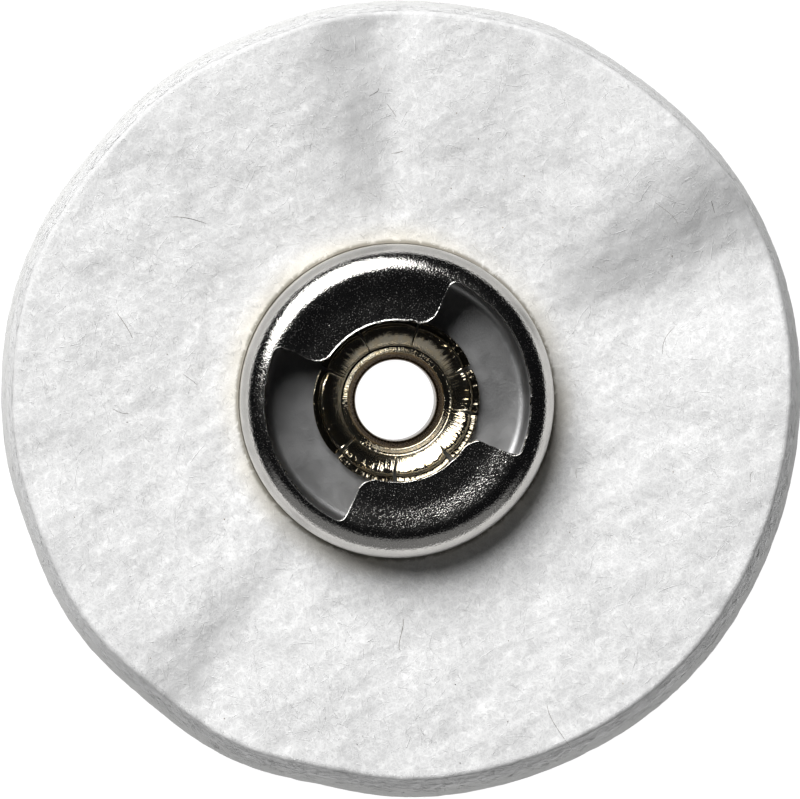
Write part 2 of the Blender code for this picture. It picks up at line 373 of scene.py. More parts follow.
def waves(x, y, size, seed, count=24):
    """Soft noise near one feature size: plane waves in random directions, added up.

    Each wave is cos(k . p + phase), its length is 0.7 to 1.4 times size, and the
    sum is scaled to a mean square of 1.
    """
    draw = np.random.default_rng(seed)
    heading = draw.uniform(0, 2 * np.pi, count)
    k = 2 * np.pi / (size * draw.uniform(0.7, 1.4, count))
    phase = draw.uniform(0, 2 * np.pi, count)
    total = np.zeros(np.broadcast(x, y).shape)
    for n in range(count):
        total += np.cos(k[n] * (x * np.cos(heading[n]) + y * np.sin(heading[n])) + phase[n])
    return total * math.sqrt(2 / count)

# %% [markdown]
# ## The shape of the felt
#
# The two discs were punched from sheet felt and then pulled down into the hub,
# so the front face dips near the cap and buckles into a few soft creases. The
# height of the front face is written as one function of x and y. The mesh and
# every loose fibre use the same function, so the fibres always lie on the felt.

# %% Felt sizes
CAP_TURN = 90.0 - math.degrees(VIEW_UP)  # turns a bearing in the view into one on the wheel
FELT_FRONT = felt_high[2]
FRONT_DIP = 0.42 * MM
RIM_LIFT = 0.05 * MM
FRONT_REACH = 7.4 * MM  # the front face rises all the way out
DIP_REACH = 4.0 * MM  # the joint and the back face lie flat outside this
FELT_OFF_CENTRE = np.array(view_right[:2]) * 0.22 * MM
OVERSIZE = 0.03 * MM  # the punched outline is a little larger than its mean circle
CREASES = (
    # bearing in the view, height at the rim, width on either side in degrees
    (21.0, -0.46, 10.0, 9.0),
    (42.0, 0.42, 9.0, 17.0),
    (92.0, -0.20, 7.0, 6.0),
    (104.0, 0.24, 7.0, 16.0),
    (236.0, -0.24, 6.0, 7.0),
    (225.0, 0.12, 12.0, 5.0),
    (188.0, -0.10, 7.0, 7.0),
    (134.0, -0.08, 8.0, 8.0),
    (266.0, -0.10, 5.0, 5.0),
    (350.0, 0.24, 26.0, 22.0),
)
# Painted shade, put into the felt's colour along the creases and over a few broad patches.
CREASE_SHADE = (
    # bearing in the view, share of painted shade, width on either side in degrees
    (31.0, 0.75, 8.0, 9.0),
    (97.0, 0.60, 6.0, 11.0),
    (68.0, 0.25, 20.0, 15.0),
    (233.0, 0.35, 4.0, 4.0),
    (134.0, 0.15, 12.0, 12.0),
)
LOBES = (
    # bearing in the view, how far the rim stands out, width in degrees
    (26.0, 0.18, 24.0),
    (68.0, 0.11, 9.0),
    (112.0, -0.10, 9.0),
    (140.0, -0.09, 10.0),
    (165.0, 0.07, 12.0),
    (200.0, -0.12, 9.0),
    (230.0, -0.14, 10.0),
    (258.0, -0.16, 9.0),
    (315.0, 0.10, 18.0),
)


def bearing_from(angle, centre):
    """Signed difference in degrees between wheel angles and a bearing in the view."""
    wheel_angle = math.radians(centre) - math.radians(CAP_TURN)
    return np.degrees(np.angle(np.exp(1j * (angle - wheel_angle))))


def crease_lift(angle, radius):
    """Height of the creases: each is height exp(-(a / width)^2), and more towards the rim."""
    reach = smooth((radius - cap_radius) / (wheel_radius - cap_radius) * 1.1)
    return bells(angle, CREASES) * MM * reach


def bells(angle, rows):
    """A sum of bell curves round the wheel, each with its own width on either side."""
    total = np.zeros_like(angle)
    for centre, height, before, after in rows:
        a = bearing_from(angle, centre)
        total += height * np.exp(-((a / np.where(a < 0, before, after)) ** 2))
    return total


def crease_shade_share(x, y):
    """Share of painted shade along the creases, a little less close to the hub."""
    radius = np.hypot(x, y)
    near = smooth((radius - cap_radius) / (2.5 * MM)) * 0.75 + 0.25
    return bells(np.arctan2(y, x), CREASE_SHADE) * near


def rim_lobes(angle):
    """How far the rim stands out from its circle at an angle: a sum of bell curves."""
    return bells(angle, [(*lobe, lobe[-1]) for lobe in LOBES]) * MM


def clumps(x, y):
    """The lumpy face of needled wool: four sizes of soft noise, finer ones lower."""
    lift = 0.025 * waves(x, y, 2.6 * MM, 11)
    lift += 0.009 * waves(x, y, 1.1 * MM, 12)
    lift += 0.0052 * waves(x, y, 0.55 * MM, 13, 32)
    lift += 0.0024 * waves(x, y, 0.28 * MM, 14, 32)
    return lift * MM


def front_height(x, y):
    """Height of the front face: its rim, less a dip (1 - t)^1.7, with creases and clumps."""
    radius = np.hypot(x, y)
    t = np.clip((radius - cap_radius) / FRONT_REACH, 0.0, 1.0)
    lift = crease_lift(np.arctan2(y, x), radius) + RIM_LIFT
    settle = smooth((radius - cap_radius) / (0.5 * MM)) * 0.8 + 0.2
    return FELT_FRONT - FRONT_DIP * (1 - t) ** 1.7 + lift + clumps(x, y) * settle


# %% Felt heights
FELT_MIDDLE = 1.8 * MM
FELT_BACK = 0.2 * MM
BACK_DIP = 0.2 * MM
PRESSED_JOINT = 1.45 * MM
PRESSED_TOP = 2.38 * MM
PIERCED = 1.565 * MM
HALF_GAP = 0.01 * MM
FELT_COLUMNS = 720
columns = np.linspace(0, 2 * np.pi, FELT_COLUMNS, endpoint=False)[None, :]


def slant(angle):
    """How far one disc's cut edge leans out from front to back; most on the lower right."""
    lower_right = np.cos(np.radians(bearing_from(angle, 290.0))).clip(0.0, 1.0)
    return MM * (0.145 + 0.16 * lower_right)


def front_rim(angle):
    """Distance of the front face's edge: the outermost edge, less two slants."""
    return wheel_radius + OVERSIZE + rim_lobes(angle) - 2 * slant(angle)


def joint_height(x, y):
    """Height of the face between the discs: drawn down at the hub, and partly creased."""
    radius = np.hypot(x, y)
    t = np.clip((radius - cap_radius) / DIP_REACH, 0.0, 1.0)
    drawn = (FELT_MIDDLE - PRESSED_JOINT) * (1 - t) ** 2
    return FELT_MIDDLE - drawn + 0.6 * crease_lift(np.arctan2(y, x), radius)


def back_height(x, y):
    """Height of the back face: drawn up at the washer, hardly creased, and lumpy."""
    radius = np.hypot(x, y)
    t = np.clip((radius - cap_radius) / DIP_REACH, 0.0, 1.0)
    lumps = 0.025 * waves(x, y, 1.9 * MM, 21) + 0.015 * waves(x, y, 0.6 * MM, 22)
    lumps = (lumps + 0.01 * waves(x, y, 0.33 * MM, 23)) * MM
    lift = 0.3 * crease_lift(np.arctan2(y, x), radius)
    return FELT_BACK + BACK_DIP * (1 - t) ** 2 + lift + lumps


def placed(radius, angle):
    """x and y at a distance and an angle; towards the rim they move over to the felt's own centre."""
    share = smooth((radius - cap_radius) / (wheel_radius - cap_radius))
    x = radius * np.cos(angle) + FELT_OFF_CENTRE[0] * share
    y = radius * np.sin(angle) + FELT_OFF_CENTRE[1] * share
    return x, y


def edge_fray(angle, height, seed):
    """Unevenness of the cut edge: soft noise along it and down it."""
    along = angle * wheel_radius
    fray = 0.004 * waves(along, 1.5 * height, 0.9 * MM, seed)
    fray += 0.0025 * waves(along, 1.5 * height, 0.4 * MM, seed + 1)
    return fray * MM


# %% [markdown]
# Each disc is one closed grid. Its rows run out over a face, round the leaning
# cut edge, back in between the discs and along the hidden part that the hub
# clamps. The cut edge has a rounded corner at either end.

# %% Front disc
FACE_ROWS = 88
BACK_ROWS = 70
JOINT_ROWS = 14
CORNER_ROWS = 5
SIDE_ROWS = 9
CORNER_START = 72  # degrees of a corner's arc, so that it meets the face softly
RIM_ROUND = 0.17 * MM
PLY_ROUND = 0.07 * MM
DISC_GAP = 0.01 * MM  # the back disc's rim stands out from the front one's by this


def face_rows(inner, outer, angle, count, height_at):
    """A face from one distance to another, at the height that a function of x and y gives."""
    t = np.linspace(0, 1, count)[:, None]
    x, y = placed(inner + (outer - inner) * t, angle)
    return np.stack([x, y, height_at(x, y)], -1)


def edge_rows(rim, lean, top, bottom, top_round, bottom_round, angle, seed):
    """A disc's cut edge: a rounded corner, a leaning side and another rounded corner.

    A corner is r = rim - round (1 - cos a), z = top - round (1 - sin a), with a
    from 72 degrees to 0, and the side is the straight line between the corners.
    """
    a = np.radians(np.linspace(CORNER_START, 0, CORNER_ROWS))[:, None]
    r_top = rim - top_round * (1 - np.cos(a))
    z_top = top - top_round * (1 - np.sin(a))
    t = np.linspace(0.1, 0.9, SIDE_ROWS)[:, None]
    r_side = rim + lean * t
    z_side = (top - top_round) * (1 - t) + (bottom + bottom_round) * t
    a = a[::-1]
    r_low = rim + lean - bottom_round * (1 - np.cos(a))
    z_low = bottom + bottom_round * (1 - np.sin(a))
    r = np.concatenate([r_top, r_side, r_low])
    z = np.concatenate([z_top, z_side, z_low])
    x, y = placed(r + edge_fray(angle + 0 * r, z, seed), angle)
    return np.stack([x, y, z], -1)


def section_rows(section, angle):
    """Rows turned about the spin axis at given angles, from (distance, height) points."""
    r, z = section[:, 0:1], section[:, 1:2]
    return np.stack([r * np.cos(angle), r * np.sin(angle), z + 0 * angle], -1)


def joint_above(x, y):
    """Height of the front disc's underside."""
    return joint_height(x, y) + HALF_GAP


def joint_below(x, y):
    """Height of the back disc's top."""
    return joint_height(x, y) - HALF_GAP


def height_at_rim(height_at, rim, angle=columns):
    """Height of a face at a distance and an angle."""
    x, y = placed(rim, angle)
    return height_at(x, y)


rim = front_rim(columns)
lean = slant(columns)
blocks = [face_rows(cap_radius + 0.03 * MM, rim - RIM_ROUND, columns, FACE_ROWS, front_height)]
top = height_at_rim(front_height, rim - RIM_ROUND)
bottom = height_at_rim(joint_above, rim + lean)
blocks.append(edge_rows(rim, lean, top, bottom, RIM_ROUND, PLY_ROUND, columns, 31))
blocks.append(face_rows(rim + lean - 0.1 * MM, PIERCED, columns, JOINT_ROWS, joint_above))
CRIMP_CENTRE = (3.90 * MM, 3.12 * MM)
hidden = [line((PIERCED, PRESSED_JOINT + 0.1 * MM), (PIERCED, PRESSED_TOP), 4)]
hidden.append(line((PIERCED, PRESSED_TOP), (4.81 * MM, PRESSED_TOP), 5))
hidden.append(arc(CRIMP_CENTRE, 1.12 * MM, -35.0, -4.5, 8))
blocks.append(section_rows(np.concatenate(hidden), columns))
front_points = np.concatenate(blocks)


# %% Back disc
WASHER_FACE = 0.52 * MM  # where the felt lies on the washer's rim
DISH_FACE = 0.94 * MM  # and on its dish
back_rim = rim + lean + DISC_GAP
blocks = [face_rows(PIERCED, back_rim - PLY_ROUND, columns, JOINT_ROWS, joint_below)]
top = height_at_rim(joint_below, back_rim - PLY_ROUND)
bottom = height_at_rim(back_height, back_rim + lean - RIM_ROUND)
blocks.append(edge_rows(back_rim, lean, top, bottom, PLY_ROUND, RIM_ROUND, columns, 33))
outer, inner = back_rim + lean - RIM_ROUND, cap_radius + 0.04 * MM
blocks.append(face_rows(outer, inner, columns, BACK_ROWS, back_height))
hidden = [line((5.02 * MM, WASHER_FACE), (3.3 * MM, WASHER_FACE), 4)]
hidden.append(line((3.295 * MM, WASHER_FACE), (2.875 * MM, DISH_FACE), 3))
hidden.append(line((2.875 * MM, DISH_FACE), (PIERCED, DISH_FACE), 4))
hidden.append(line((PIERCED, DISH_FACE), (PIERCED, PRESSED_JOINT - 0.1 * MM), 3))
blocks.append(section_rows(np.concatenate(hidden), columns))
back_points = np.concatenate(blocks)

# %% [markdown]
# ## The finish of the felt
#
# Bleached wool felt is nearly as white as snow, with a cream cast where the hub
# has pressed and handled it. A flat white would look like plaster, so the colour
# drifts a little in clouds and in clumps, and a fine bump stands for the fibres
# that are too thin to model. The fibres that can be told apart are real geometry.

# %% Felt finish
def strand_lines(place):
    """Fine wandering lines in three directions: 1 on a line and 0 between them.

    The position is moved about by a soft noise. A line is where two long narrow
    Voronoi cells meet.
    """
    soft = {"Vector": place, "Scale": 1 / (0.6 * MM), "Detail": 1.0}
    drift = place.node("ShaderNodeTexNoise", {}, soft, "Color")
    shove = (0.25 * MM,) * 3
    add = {"operation": "MULTIPLY_ADD"}
    moved = place.node("ShaderNodeVectorMath", add, {0: drift, 1: shove, 2: place})
    total = None
    cell_size = (0.9 * MM, 0.15 * MM, 0.3 * MM)
    shape = {"feature": "DISTANCE_TO_EDGE"}
    for heading in (0.3, 1.4, 2.4):
        cell = {"Vector": moved, "Rotation": (0.0, 0.0, heading), "Scale": cell_size}
        turned = moved.node("ShaderNodeMapping", {"vector_type": "TEXTURE"}, cell)
        gap = turned.node("ShaderNodeTexVoronoi", shape, {"Vector": turned, "Scale": 1.0}, "Distance")
        strand = 1 - gap.band(0.0, 0.07)
        total = strand if total is None else total + strand
    return total.limited()


def felt_finish(name, pale, shade, seed):
    """Wool between two greys and creamy at the hub, with a painted contact shadow round the cap and painted
    shade in the creases, on the cut edges and in the seam between the discs.
    """
    made, shader, place = new_finish(name)
    radius = from_axis(place)
    shifted = place.node("ShaderNodeMapping", {}, {"Vector": place, "Location": (seed, 2 * seed, 0.0)})
    tuft = shifted.noise(0.24 * MM, 2.0, 0.5, 0.6).band(0.48, 0.70)
    nap = shifted.noise(0.10 * MM, 3.0, 0.65, 1.5)
    cloud = shifted.noise(3.0 * MM, 2.0).band(0.35, 0.65)
    strand = strand_lines(shifted)
    lint = tuft * 0.4 + nap.band(0.52, 0.82) * 0.5 + cloud * 0.15 + strand * 0.4
    wool = lint.limited().blend(shade, pale)
    handled = (1 - radius.band(5.0 * MM, 5.9 * MM)) * (0.35 + 0.65 * cloud)
    wool = (handled * 0.75).blend(wool, (0.81, 0.765, 0.66))
    # Painted shade from the stored share: grey along the creases and on the cut edges.
    painted_shade = stored_painted_shade(place)
    wool = painted_shade.limited().blend(wool, (0.50, 0.50, 0.50))
    # Painted contact shadow: a dark brown ring on the felt just round the cap.
    contact_shadow = 1 - (radius + (tuft - 0.5) * (0.05 * MM)).band(5.03 * MM, 5.17 * MM)
    wool = (contact_shadow * 0.8).blend(wool, (0.20, 0.18, 0.14))
    # Painted shadow in the seam where the discs touch, where the stored share is over 1.
    wool = (painted_shade - 1.0).limited().blend(wool, (0.08, 0.08, 0.08))
    feed(shader, Base_Color=wool, Roughness=0.95, Specular_IOR_Level=0.15)
    feed(shader, Sheen_Weight=0.06, Sheen_Roughness=0.6)
    feed(shader, Normal=bumped(nap + tuft * 0.5, 0.010 * MM))
    return made


FRONT_WOOL = ((0.95, 0.95, 0.945), (0.7, 0.7, 0.7))
BACK_WOOL = ((0.84, 0.84, 0.82), (0.77, 0.77, 0.75))
front_look = felt_finish("bleached_wool", *FRONT_WOOL, 0.0)
back_look = felt_finish("backing_wool", *BACK_WOOL, 0.013)
# Painted shade of a corner's rows, from the face round to the cut edge. Where the discs
# touch it is over 1, which paints a nearly black shadow in the seam.
OPEN_CORNER_SHADE = np.array([0.40, 0.85, 1.30, 1.40, 1.20])
SHUT_CORNER_SHADE = np.array([2.9, 2.2, 1.2, 1.0, 1.0])
# Painted shade on the cut edges, darker on the front disc.
FRONT_CUT_SHADE = 0.42
BACK_CUT_SHADE = 0.60
BACK_FACE_SHADE = 0.2  # the back face gets that share of the creases' painted shade


def disc_painted_shade(points, edge_from, start, end, cut, on_face):
    """Painted shade of the creases on the faces and of the cut edge from one corner to the other, nearly
    black in the seam between the discs.
    """
    painted_shade = crease_shade_share(points[..., 0], points[..., 1]) * on_face
    edge_shade = cut * np.concatenate([start, np.ones(SIDE_ROWS), end[::-1]])[:, None]
    rows = slice(edge_from, edge_from + len(edge_shade))
    painted_shade[rows] = np.maximum(painted_shade[rows] * (edge_shade < cut), edge_shade)
    return painted_shade


front_painted_shade = disc_painted_shade(front_points, FACE_ROWS, OPEN_CORNER_SHADE, SHUT_CORNER_SHADE, FRONT_CUT_SHADE, 1.0)
back_painted_shade = disc_painted_shade(back_points, JOINT_ROWS, SHUT_CORNER_SHADE, OPEN_CORNER_SHADE, BACK_CUT_SHADE, BACK_FACE_SHADE)
front_disc = add_grid("front_felt_disc", front_points, front_look, "felt_ply_front",
                      front_painted_shade)
back_disc = add_grid("back_felt_disc", back_points, back_look, "felt_ply_back",
                     back_painted_shade)

# %% [markdown]
# ## Loose fibres
#
# Felt has no weave. What the eye reads as cloth is thousands of fine bright
# fibres that lie across each other, bent a little and with both ends buried.
# Hair particles would do it, but they give nothing solid to export, so each fibre
# is a thin three-sided tube, and all of them are worked out in a few arrays.

# %% Fibre tubes
FLATTENED = 0.12  # height over width
TIP_SINK = 1.2  # how deep a tip is buried, in thicknesses


def tubes(centre, side, up, thickness):
    """Thin flattened tubes along centre lines, as points and triangles.

    centre is (strand, step, xyz). A ring at a step is centre + w (cos a side + sin a
    up) for a of 90, 210 and 330 degrees. w is half the thickness in the middle and
    shrinks as the square root of the distance to the tip. The two tips are points.
    """
    strands, steps, _ = centre.shape
    t = np.linspace(0, 1, steps)[1:-1]
    width = thickness[:, None] / 2 * np.sqrt(np.minimum(1, 3 * np.minimum(t, 1 - t)))[None, :]
    a = np.radians([90.0, 210.0, 330.0])
    spoke = np.cos(a)[:, None] * side[:, 1:-1, None] + np.sin(a)[:, None] * up[:, 1:-1, None]
    rings = centre[:, 1:-1, None, :] + width[:, :, None, None] * spoke
    points = np.concatenate([centre[:, :1], rings.reshape(strands, -1, 3), centre[:, -1:]], 1)
    k = np.arange(3)
    nxt = (k + 1) % 3
    first = np.stack([0 * k, 1 + nxt, 1 + k], -1)
    ring = 1 + 3 * np.arange(steps - 3)[:, None]
    a0, b0 = ring + k, ring + nxt
    body = np.stack([a0, b0, b0 + 3, a0, b0 + 3, a0 + 3], -1).reshape(-1, 3)
    tip = 3 * (steps - 2) + 1
    last = np.stack([tip - 3 + k, tip - 3 + nxt, tip + 0 * k], -1)
    one = np.concatenate([first, body, last])
    faces = one[None] + (np.arange(strands) * points.shape[1])[:, None, None]
    return points.reshape(-1, 3), faces.reshape(-1, 3)


def lying_strands(x, y, heading, length, bend, thickness, rise, height_at, facing=1.0, steps=8):
    """Centre lines of strands lying on a face, with what tubes() needs.

    Along s from -1/2 to 1/2 a strand runs s length forwards and bend (4 s^2) length
    sideways, with a slight S. Its height is the face's, plus rise in the middle, and
    its tips are sunk. facing is 1 on a front face and -1 on a back face.
    """
    s = np.linspace(-0.5, 0.5, steps)[None, :]
    forward = s * length[:, None]
    sway = bend[:, None] * 4 * s * s + 0.25 * bend[::-1, None] * np.sin(2 * np.pi * s)
    sideways = sway * length[:, None]
    c, d = np.cos(heading)[:, None], np.sin(heading)[:, None]
    px = x[:, None] + forward * c - sideways * d
    py = y[:, None] + forward * d + sideways * c
    arch = np.cos(np.pi * s)
    stand = rise[:, None] * arch - TIP_SINK * thickness[:, None] * (1 - arch)
    pz = height_at(px, py) + facing * stand
    centre = np.stack([px, py, pz], -1)
    along = np.gradient(centre, axis=1)
    side = np.stack([-along[..., 1], along[..., 0], 0 * along[..., 0]], -1)
    side /= np.linalg.norm(side, axis=-1, keepdims=True)
    up = np.zeros_like(side)
    up[..., 2] = FLATTENED * facing
    return centre, side, up, thickness


def edge_strands(angle, share, length, pitch, bend, thickness, rise, disc, steps=8):
    """Centre lines of strands lying on a cut edge, with what tubes() needs.

    A strand starts from a share of the edge's height. Along s from -1/2 to 1/2 it
    turns about the axis by s length cos(pitch) / radius and climbs by s length
    sin(pitch). disc gives the rim, the lean, the top and the bottom at an angle.
    """
    s = np.linspace(-0.5, 0.5, steps)[None, :]
    turned = angle[:, None] + s * (length * np.cos(pitch))[:, None] / wheel_radius
    rim, lean, top, bottom = disc(turned)
    climb = s * (length * np.sin(pitch))[:, None] + (bend * length)[:, None] * 4 * s * s
    part = np.clip(share[:, None] - climb / (top - bottom), 0.02, 0.98)
    arch = np.cos(np.pi * s)
    out = rise[:, None] * arch - TIP_SINK * thickness[:, None] * (1 - arch)
    x, y = placed(rim + lean * part + out, turned)
    centre = np.stack([x, y, top + (bottom - top) * part], -1)
    outward = np.stack([np.cos(turned), np.sin(turned), 0 * turned], -1)
    side = np.cross(np.gradient(centre, axis=1), outward)
    side /= np.linalg.norm(side, axis=-1, keepdims=True)
    return centre, side, FLATTENED * outward, thickness


def scattered(draw, count, inner, outer):
    """Even random places on a ring: r = sqrt of an even draw between the squared limits."""
    r = np.sqrt(draw.uniform(inner ** 2, outer ** 2, count))
    angle = draw.uniform(0, 2 * np.pi, count)
    return r, angle


# %% Fibre finish
def fibre_finish(name, pale, shade):
    """Glossy fibres, creamy near the hub, with painted shade along the creases and on the cut edges."""
    made, shader, place = new_finish(name)
    tone = place.noise(0.22 * MM, 2.0).band(0.3, 0.7)
    radius = from_axis(place)
    near_hub = 1 - radius.band(5.0 * MM, 6.4 * MM)
    wool = (near_hub * 0.45).blend(tone.blend(shade, pale), (0.84, 0.80, 0.71))
    # Painted shade from the stored share, as on the felt.
    painted_shade = stored_painted_shade(place)
    wool = (painted_shade * 0.7).blend(wool, (0.62, 0.62, 0.62))
    feed(shader, Base_Color=wool, Roughness=0.35 + tone * 0.15, Specular_IOR_Level=0.7)
    return made


fibre_look = fibre_finish("wool_fibres", (0.98, 0.98, 0.975), (0.87, 0.87, 0.87))


# %% Front fibres
FIBRES = 5400  # short ones in one piece
LONG_FIBRES = 1600
ALONG_RIM = 0.3  # the larger, the shorter are fibres that run along the rim


def face_fibres(name, seed, count, size, rise, height_at, facing, slot, steps=8):
    """A piece of fibres strewn over one face of a disc, kept short near its edges.

    size is the usual length and thickness, and rise how far it stands up, in mm. A
    length is at most 2 room / (|cos| + ALONG_RIM), where room is the distance to the
    nearer edge and cos is of the angle between the fibre and the radius.
    """
    draw = np.random.default_rng(seed)
    r, angle = scattered(draw, count, cap_radius + 0.08 * MM, wheel_radius - 0.2 * MM)
    r = np.minimum(r, front_rim(angle) - RIM_ROUND)
    x, y = placed(r, angle)
    length = size[0] * MM * draw.lognormal(0, 0.45, count)
    thickness = size[1] * MM * draw.uniform(0.7, 1.35, count)
    bend = draw.normal(0, 0.13, count)
    rise = rise * MM * draw.exponential(1.0, count) + 0.03 * thickness
    heading = draw.uniform(0, 2 * np.pi, count)
    room = np.minimum(front_rim(angle) - 0.5 * RIM_ROUND - r, r - cap_radius)
    length = np.minimum(length, 2 * room / (np.abs(np.cos(heading - angle)) + ALONG_RIM))
    strands = lying_strands(x, y, heading, length, bend, thickness, rise, height_at, facing, steps)
    points, faces = tubes(*strands)
    # The fibres take the painted crease shade of the felt under them.
    painted_shade = crease_shade_share(points[:, 0], points[:, 1])
    return add_piece(name, points, faces, fibre_look, painted_shade=painted_shade, rounded=False)


on_front = (front_height, 1.0, "front_felt")
short, long = (0.62, 0.019), (1.5, 0.022)
front_pieces = [
    face_fibres("front_fibres_1", 41, FIBRES, short, 0.0008, *on_front),
    face_fibres("front_fibres_2", 42, FIBRES, short, 0.0008, *on_front),
    face_fibres("long_fibres", 43, LONG_FIBRES, long, 0.0008, *on_front, 16),
]

# %% [markdown]
# The back face was never pressed smooth, so its fibres are longer and stand up
# five times as far.

# %% Back fibres
on_back = (back_height, -1.0, "back_felt")
back_pieces = [face_fibres("back_fibres", 45, FIBRES, (0.9, 0.026), 0.004, *on_back)]

# %% [markdown]
# A punch cuts the fibres off at the edge, and their ends are combed along it. They
# lie on the leaning side instead of on a face, so they have a place of their own:
# an angle round the wheel and a share of the edge's height.

# %% Edge fibres
CORNER_SHARE = 0.3  # the fibres stop this share of the rounded corner short of the face
# Painted shade of the fibres on the cut edges.
EDGE_FIBRE_SHADE = 0.7


def front_edge(angle):
    """Rim, lean, top and bottom of the front disc's cut edge at an angle."""
    rim, lean = front_rim(angle), slant(angle)
    top = height_at_rim(front_height, rim - RIM_ROUND, angle) - CORNER_SHARE * RIM_ROUND
    return rim, lean, top, height_at_rim(joint_above, rim + lean, angle) + PLY_ROUND


def back_edge(angle):
    """Rim, lean, top and bottom of the back disc's cut edge at an angle."""
    lean = slant(angle)
    rim = front_rim(angle) + lean + DISC_GAP
    bottom = height_at_rim(back_height, rim + lean - RIM_ROUND, angle) + CORNER_SHARE * RIM_ROUND
    return rim, lean, height_at_rim(joint_below, rim, angle) - PLY_ROUND, bottom


def cut_fibres(name, seed, disc):
    """A piece of fibres on a disc's cut edge. Most run along it and a few stand off it."""
    draw = np.random.default_rng(seed)
    angle = draw.uniform(0, 2 * np.pi, FIBRES)
    share = draw.uniform(0, 1, FIBRES)
    length = 0.45 * MM * draw.lognormal(0, 0.4, FIBRES)
    thickness = 0.022 * MM * draw.uniform(0.7, 1.3, FIBRES)
    pitch = draw.normal(0, 0.6, FIBRES)
    bend = draw.normal(0, 0.12, FIBRES)
    rise = 0.006 * MM * draw.exponential(1.0, FIBRES) + 0.15 * thickness
    points, faces = tubes(*edge_strands(angle, share, length, pitch, bend, thickness, rise, disc))
    painted_shade = np.full(len(points), EDGE_FIBRE_SHADE)
    return add_piece(name, points, faces, fibre_look, painted_shade=painted_shade, rounded=False)


front_pieces.append(cut_fibres("front_edge_fibres", 46, front_edge))
back_pieces.append(cut_fibres("back_edge_fibres", 47, back_edge))

# %% [markdown]
# Handling leaves a few dark hairs, and earlier use leaves crumbs of brown polish.
# Both are the same thin tubes, drawn long for a hair and stubby for a crumb.

# %% Hairs and specks
def dirt_finish(name, pale, dark):
    """Dull dirt whose colour drifts between two tones."""
    made, shader, place = new_finish(name)
    tone = place.noise(1.5 * MM, 2.0).band(0.4, 0.6)
    feed(shader, Base_Color=tone.blend(dark, pale), Roughness=0.6, Specular_IOR_Level=0.3)
    return made


def strewn(name, seed, count, length, thickness, steps, look):
    """A few loose things on the front face, with length and thickness drawn between two limits."""
    draw = np.random.default_rng(seed)
    r, angle = scattered(draw, count, cap_radius + 0.8 * MM, wheel_radius - 1.0 * MM)
    x, y = placed(r, angle)
    heading = draw.uniform(0, 2 * np.pi, count)
    length = draw.uniform(*length, count) * MM
    thickness = draw.uniform(*thickness, count) * MM
    bend = draw.normal(0, 0.2, count)
    parts = lying_strands(x, y, heading, length, bend, thickness, 0.5 * thickness, front_height, 1.0, steps)
    points, faces = tubes(*parts)
    return add_piece(name, points, faces, look)


hair_look = dirt_finish("dark_hairs", (0.30, 0.27, 0.23), (0.10, 0.09, 0.08))
speck_look = dirt_finish("polish_specks", (0.42, 0.29, 0.13), (0.10, 0.08, 0.06))
front_pieces.append(strewn("stray_hairs", 81, 14, (0.5, 2.4), (0.010, 0.017), 26, hair_look))
front_pieces.append(strewn("polish_specks", 82, 26, (0.03, 0.07), (0.025, 0.045), 5, speck_look))

# %% [markdown]
# ## The hub cap
#
# The cap was drawn from sheet steel, its bow-tie window was punched out, and then
# it was plated. Punching rolls the top edge of the window over and leaves a torn
# wall, and plating over that gives the thin bright line round the ears. A turned
# solid with a hole cut in it would have a knife edge there. Instead the cap is
# one grid that goes right round the sheet: columns follow the window's outline,
# and rows run from the crimped rim over the face, down the torn edge and back.

# %% Window outline
EAR_HALF = 44.5  # degrees
EAR_CORNER = 0.60 * MM
END_CORNER = 0.25 * MM
WAIST = 2.57 * MM
WINDOW_END = 4.24 * MM
CAP_COLUMNS = 720


def window_outline(count):
    """The bow-tie outline at even steps: arcs joined in turn, then resampled by length."""
    half = 90.0 - EAR_HALF
    end = WINDOW_END - END_CORNER
    inner = WAIST + EAR_CORNER
    end_swing = math.degrees(math.asin(END_CORNER / end))
    inner_swing = math.degrees(math.asin(EAR_CORNER / inner))

    def centre(distance, bearing):
        return (distance * math.cos(math.radians(bearing)), distance * math.sin(math.radians(bearing)))

    runs = []
    for side in (0.0, 180.0):
        low, high = side - half, side + half
        corner = centre(inner, low - inner_swing)
        runs.append(arc(corner, EAR_CORNER, low - inner_swing + 180.0, low + 90.0, 20))
        runs.append(arc(centre(end, low + end_swing), END_CORNER, low - 90.0, low + end_swing, 12))
        runs.append(arc((0.0, 0.0), WINDOW_END, low + end_swing, high - end_swing, 80))
        runs.append(arc(centre(end, high - end_swing), END_CORNER, high - end_swing, high + 90.0, 12))
        corner = centre(inner, high + inner_swing)
        runs.append(arc(corner, EAR_CORNER, high - 90.0, high + inner_swing - 180.0, 20))
        runs.append(arc((0.0, 0.0), WAIST, high + inner_swing, high + 2 * EAR_HALF - inner_swing, 60))
    points = np.concatenate(runs)
    points = np.concatenate([points, points[:1]])
    step = np.hypot(*np.diff(points, axis=0).T)
    points = points[np.concatenate([[True], step > 1e-9])]
    along = np.concatenate([[0], np.cumsum(np.hypot(*np.diff(points, axis=0).T))])
    at = np.linspace(0, along[-1], count, endpoint=False)
    return np.stack([np.interp(at, along, points[:, k]) for k in range(2)], -1), at / along[-1]


outline, share = window_outline(CAP_COLUMNS)
ahead = np.roll(outline, -2, axis=0) - np.roll(outline, 2, axis=0)
into_metal = np.stack([ahead[:, 1], -ahead[:, 0]], -1)
into_metal /= np.linalg.norm(into_metal, axis=1, keepdims=True)
own_angle = np.unwrap(np.arctan2(outline[:, 1], outline[:, 0]))
rim_angle = own_angle * 0.75 + 0.25 * (own_angle[0] + 2 * np.pi * share)

